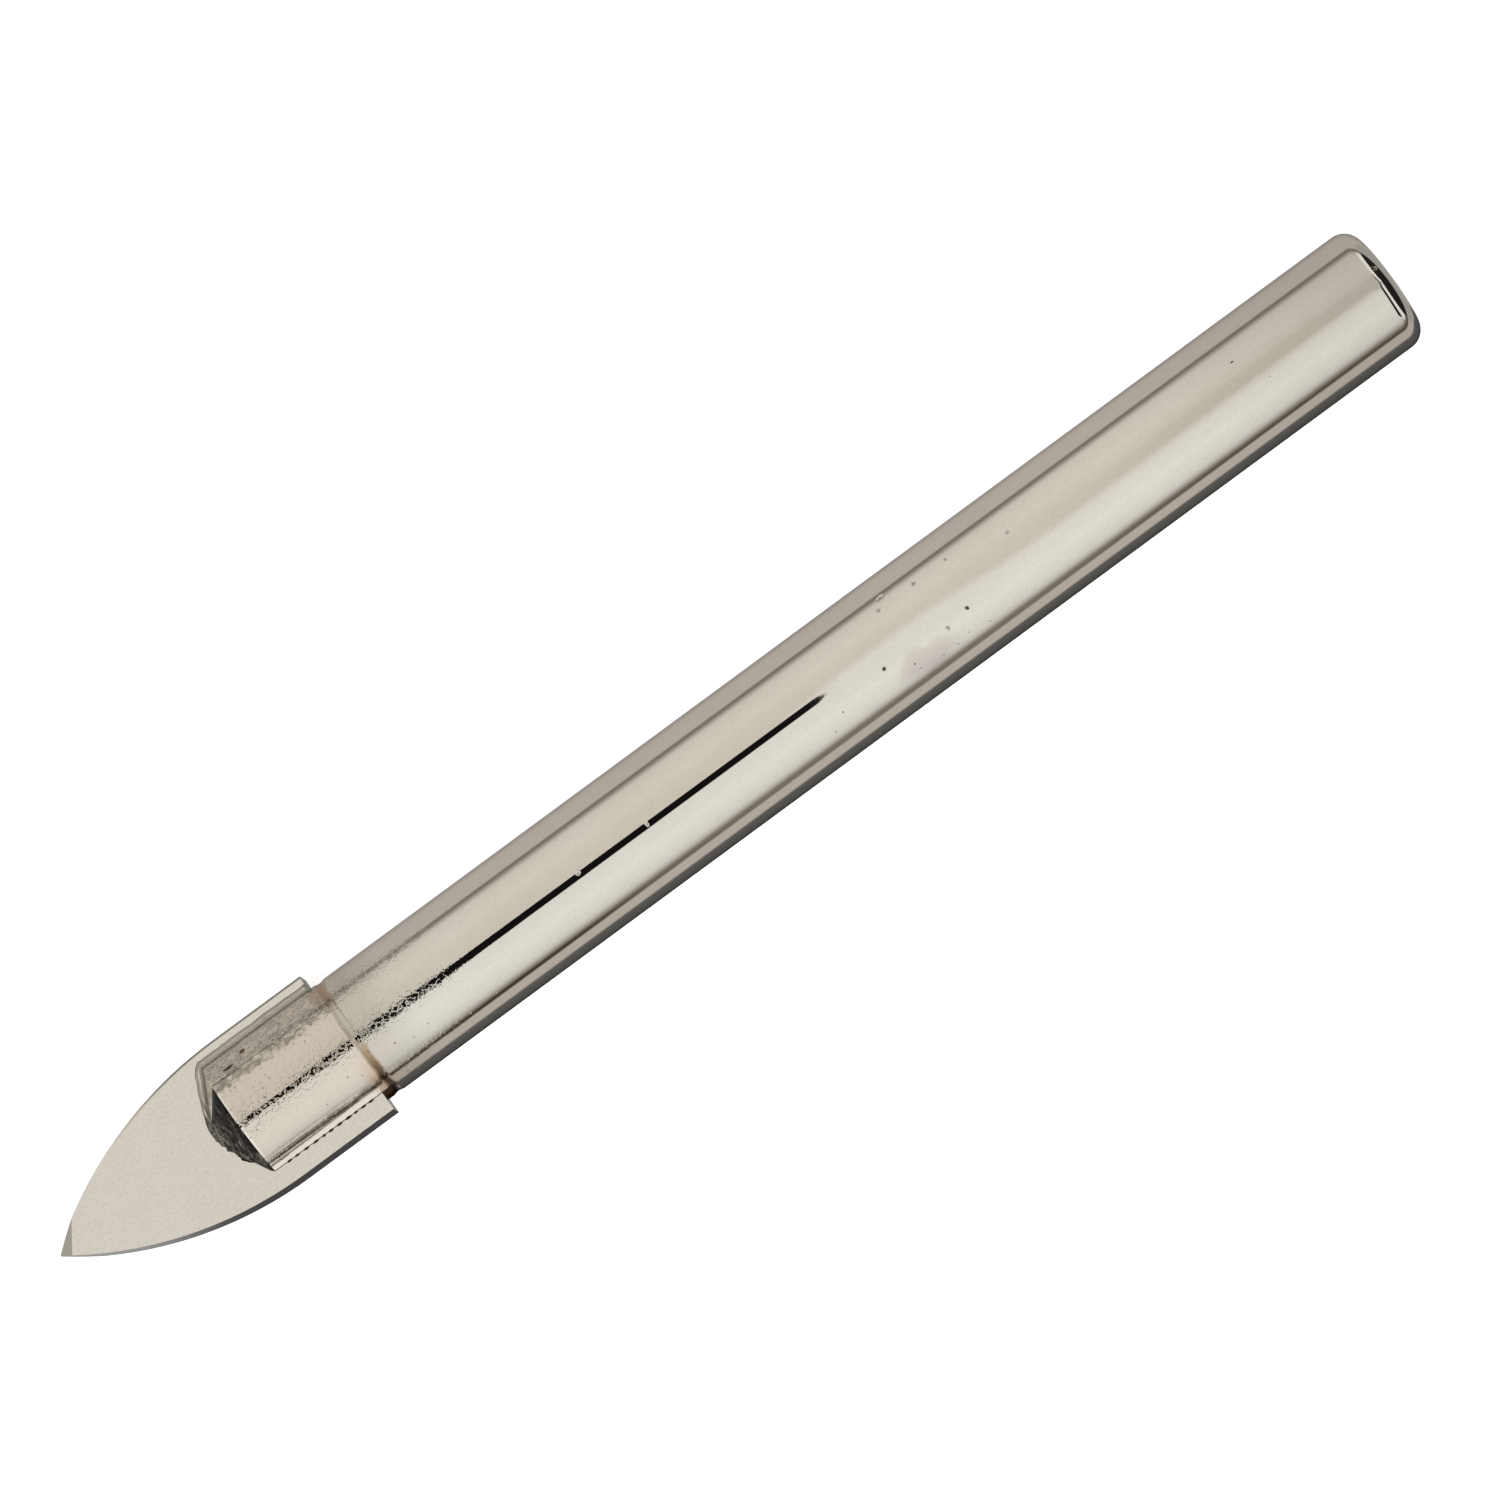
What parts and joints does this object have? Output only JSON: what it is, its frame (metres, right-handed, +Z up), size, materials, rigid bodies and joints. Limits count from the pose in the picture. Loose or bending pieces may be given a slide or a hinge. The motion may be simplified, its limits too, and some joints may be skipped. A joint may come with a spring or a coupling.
{
  "type": "glass and tile drill bit",
  "caption": "Straight-shank drill bit with a spear-shaped carbide plate brazed into its slotted front end, for drilling glass and glazed tile.",
  "frame": {"origin": "mid length of the bit, on the line on which the shank lies", "axes": "+X along the axis from the point to the back end of the shank, +Z up as the bit lies on its shank and one wing of the plate, that wing on the +Y side"},
  "size_m": [0.08, 0.0074, 0.0066],
  "materials": {
    "nickel_plate": "bright nickel plate on steel, with fine pits and heat tint near the joint",
    "ground_carbide": "plated hard metal with finely ground edges",
    "braze_metal": "dull brown braze with flux residue"
  },
  "bodies": {
    "root": {"shank": "nickel_plate", "carbide_tip": "ground_carbide", "braze": "braze_metal"}
  },
  "joints": []
}
